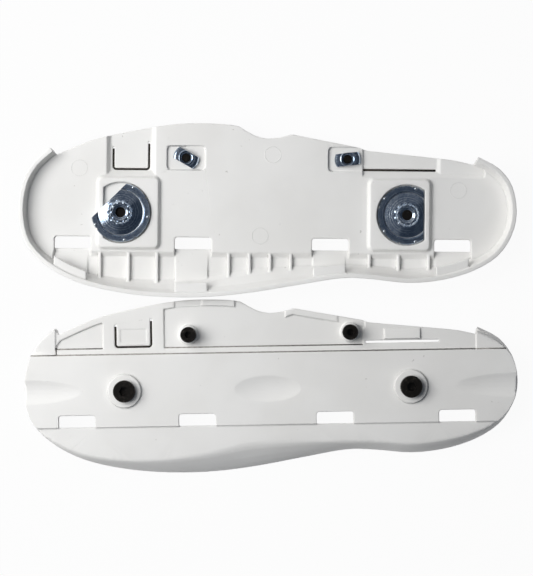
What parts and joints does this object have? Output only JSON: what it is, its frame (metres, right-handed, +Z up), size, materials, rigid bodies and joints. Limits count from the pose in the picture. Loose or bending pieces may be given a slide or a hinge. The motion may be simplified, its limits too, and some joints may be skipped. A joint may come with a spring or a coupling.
{
  "type": "aggressive inline skate soul plate pair",
  "caption": "Left and right moulded soul plates of an aggressive inline skate, with keyed disc nuts, flanged side nuts and socket-head bolts; one lies boot side up, the other sole up.",
  "frame": {"origin": "on the table below the middle of the pair", "axes": "+X from toe to heel, +Y towards the inner side of the foot, +Z up"},
  "size_m": [0.2914, 0.2052, 0.0209],
  "materials": {
    "moulded_white": "satin off-white moulded nylon",
    "zinc_plate": "turned steel, bluish zinc plating",
    "black_oxide": "black oxide steel"
  },
  "bodies": {
    "left_plate": {"left_plate": "moulded_white"},
    "left_tongue": {"left_tongue": "moulded_white"},
    "left_front_frame_nut": {"left_front_frame_nut": "zinc_plate"},
    "left_front_frame_bolt": {"left_front_frame_bolt": "black_oxide"},
    "left_rear_frame_nut": {"left_rear_frame_nut": "zinc_plate"},
    "left_rear_frame_bolt": {"left_rear_frame_bolt": "black_oxide"},
    "left_front_side_nut": {"left_front_side_nut": "zinc_plate"},
    "left_front_side_bolt": {"left_front_side_bolt": "black_oxide"},
    "left_rear_side_nut": {"left_rear_side_nut": "zinc_plate"},
    "left_rear_side_bolt": {"left_rear_side_bolt": "black_oxide"},
    "right_plate": {"right_plate": "moulded_white"},
    "right_tongue": {"right_tongue": "moulded_white"},
    "right_front_frame_nut": {"right_front_frame_nut": "zinc_plate"},
    "right_front_frame_bolt": {"right_front_frame_bolt": "black_oxide"},
    "right_rear_frame_nut": {"right_rear_frame_nut": "zinc_plate"},
    "right_rear_frame_bolt": {"right_rear_frame_bolt": "black_oxide"},
    "right_front_side_nut": {"right_front_side_nut": "zinc_plate"},
    "right_front_side_bolt": {"right_front_side_bolt": "black_oxide"},
    "right_rear_side_nut": {"right_rear_side_nut": "zinc_plate"},
    "right_rear_side_bolt": {"right_rear_side_bolt": "black_oxide"}
  },
  "joints": [
    {"name": "left_tongue_flex", "type": "hinge", "parent": "left_plate", "child": "left_tongue", "pos_m": [-0.0807, 0.09036, 0.0089], "axis": [0.9869, 0.1614, 0], "range_deg": [-6, 6], "stiffness_Nm_per_rad": 0.05},
    {"name": "left_front_frame_bolt_turn", "type": "hinge", "parent": "left_plate", "child": "left_front_frame_bolt", "pos_m": [-0.08668, 0.05037, 0.0064], "axis": [0, 0, -1], "continuous": true},
    {"name": "left_front_frame_nut_turn", "type": "hinge", "parent": "left_plate", "child": "left_front_frame_nut", "pos_m": [-0.08668, 0.05037, 0.0154], "axis": [0, 0, 1], "continuous": true},
    {"name": "left_rear_frame_bolt_turn", "type": "hinge", "parent": "left_plate", "child": "left_rear_frame_bolt", "pos_m": [0.08031, 0.04877, 0.0064], "axis": [0, 0, -1], "range_deg": [0, 725]},
    {"name": "left_rear_frame_nut_lift", "type": "slide", "parent": "left_plate", "child": "left_rear_frame_nut", "axis": [0, 0, 1], "range_m": [0, 0.002]},
    {"name": "left_front_side_bolt_turn", "type": "hinge", "parent": "left_plate", "child": "left_front_side_bolt", "pos_m": [-0.04857, 0.0823, 0.0064], "axis": [0, 0, -1], "continuous": true},
    {"name": "left_front_side_nut_turn", "type": "hinge", "parent": "left_plate", "child": "left_front_side_nut", "pos_m": [-0.04857, 0.0823, 0.0114], "axis": [0, 0, 1], "range_deg": [-5, 63]},
    {"name": "left_rear_side_bolt_turn", "type": "hinge", "parent": "left_plate", "child": "left_rear_side_bolt", "pos_m": [0.04562, 0.0814, 0.0064], "axis": [0, 0, -1], "continuous": true},
    {"name": "left_rear_side_nut_turn", "type": "hinge", "parent": "left_plate", "child": "left_rear_side_nut", "pos_m": [0.04562, 0.0814, 0.0114], "axis": [0, 0, 1], "range_deg": [-41, 27]},
    {"name": "right_plate_apart", "type": "slide", "parent": "left_plate", "child": "right_plate", "axis": [0, -1, 0], "range_m": [0, 0.06]},
    {"name": "right_tongue_flex", "type": "hinge", "parent": "right_plate", "child": "right_tongue", "pos_m": [-0.07954, -0.01368, 0.012], "axis": [0.9823, 0.1872, 0], "range_deg": [-6, 6], "stiffness_Nm_per_rad": 0.05},
    {"name": "right_front_frame_bolt_turn", "type": "hinge", "parent": "right_plate", "child": "right_front_frame_bolt", "pos_m": [-0.08447, -0.05382, 0.0145], "axis": [0, 0, 1], "range_deg": [0, 725]},
    {"name": "right_front_frame_nut_lift", "type": "slide", "parent": "right_plate", "child": "right_front_frame_nut", "axis": [0, 0, -1], "range_m": [0, 0.002]},
    {"name": "right_rear_frame_bolt_turn", "type": "hinge", "parent": "right_plate", "child": "right_rear_frame_bolt", "pos_m": [0.0825, -0.05105, 0.0145], "axis": [0, 0, 1], "range_deg": [0, 725]},
    {"name": "right_rear_frame_nut_lift", "type": "slide", "parent": "right_plate", "child": "right_rear_frame_nut", "axis": [0, 0, -1], "range_m": [0, 0.002]},
    {"name": "right_front_side_bolt_turn", "type": "hinge", "parent": "right_plate", "child": "right_front_side_bolt", "pos_m": [-0.04721, -0.0209, 0.0145], "axis": [0, 0, 1], "continuous": true},
    {"name": "right_front_side_nut_turn", "type": "hinge", "parent": "right_plate", "child": "right_front_side_nut", "pos_m": [-0.04721, -0.0209, 0.0095], "axis": [0, 0, -1], "range_deg": [-34, 34]},
    {"name": "right_rear_side_bolt_turn", "type": "hinge", "parent": "right_plate", "child": "right_rear_side_bolt", "pos_m": [0.04697, -0.01933, 0.0145], "axis": [0, 0, 1], "continuous": true},
    {"name": "right_rear_side_nut_turn", "type": "hinge", "parent": "right_plate", "child": "right_rear_side_nut", "pos_m": [0.04697, -0.01933, 0.0095], "axis": [0, 0, -1], "range_deg": [-34, 34]}
  ],
  "couplings": [
    {"joint": "left_rear_frame_bolt_turn", "follows": "left_rear_frame_nut_lift", "rad_per_m": 6283.2},
    {"joint": "right_front_frame_bolt_turn", "follows": "right_front_frame_nut_lift", "rad_per_m": 6283.2},
    {"joint": "right_rear_frame_bolt_turn", "follows": "right_rear_frame_nut_lift", "rad_per_m": 6283.2}
  ]
}
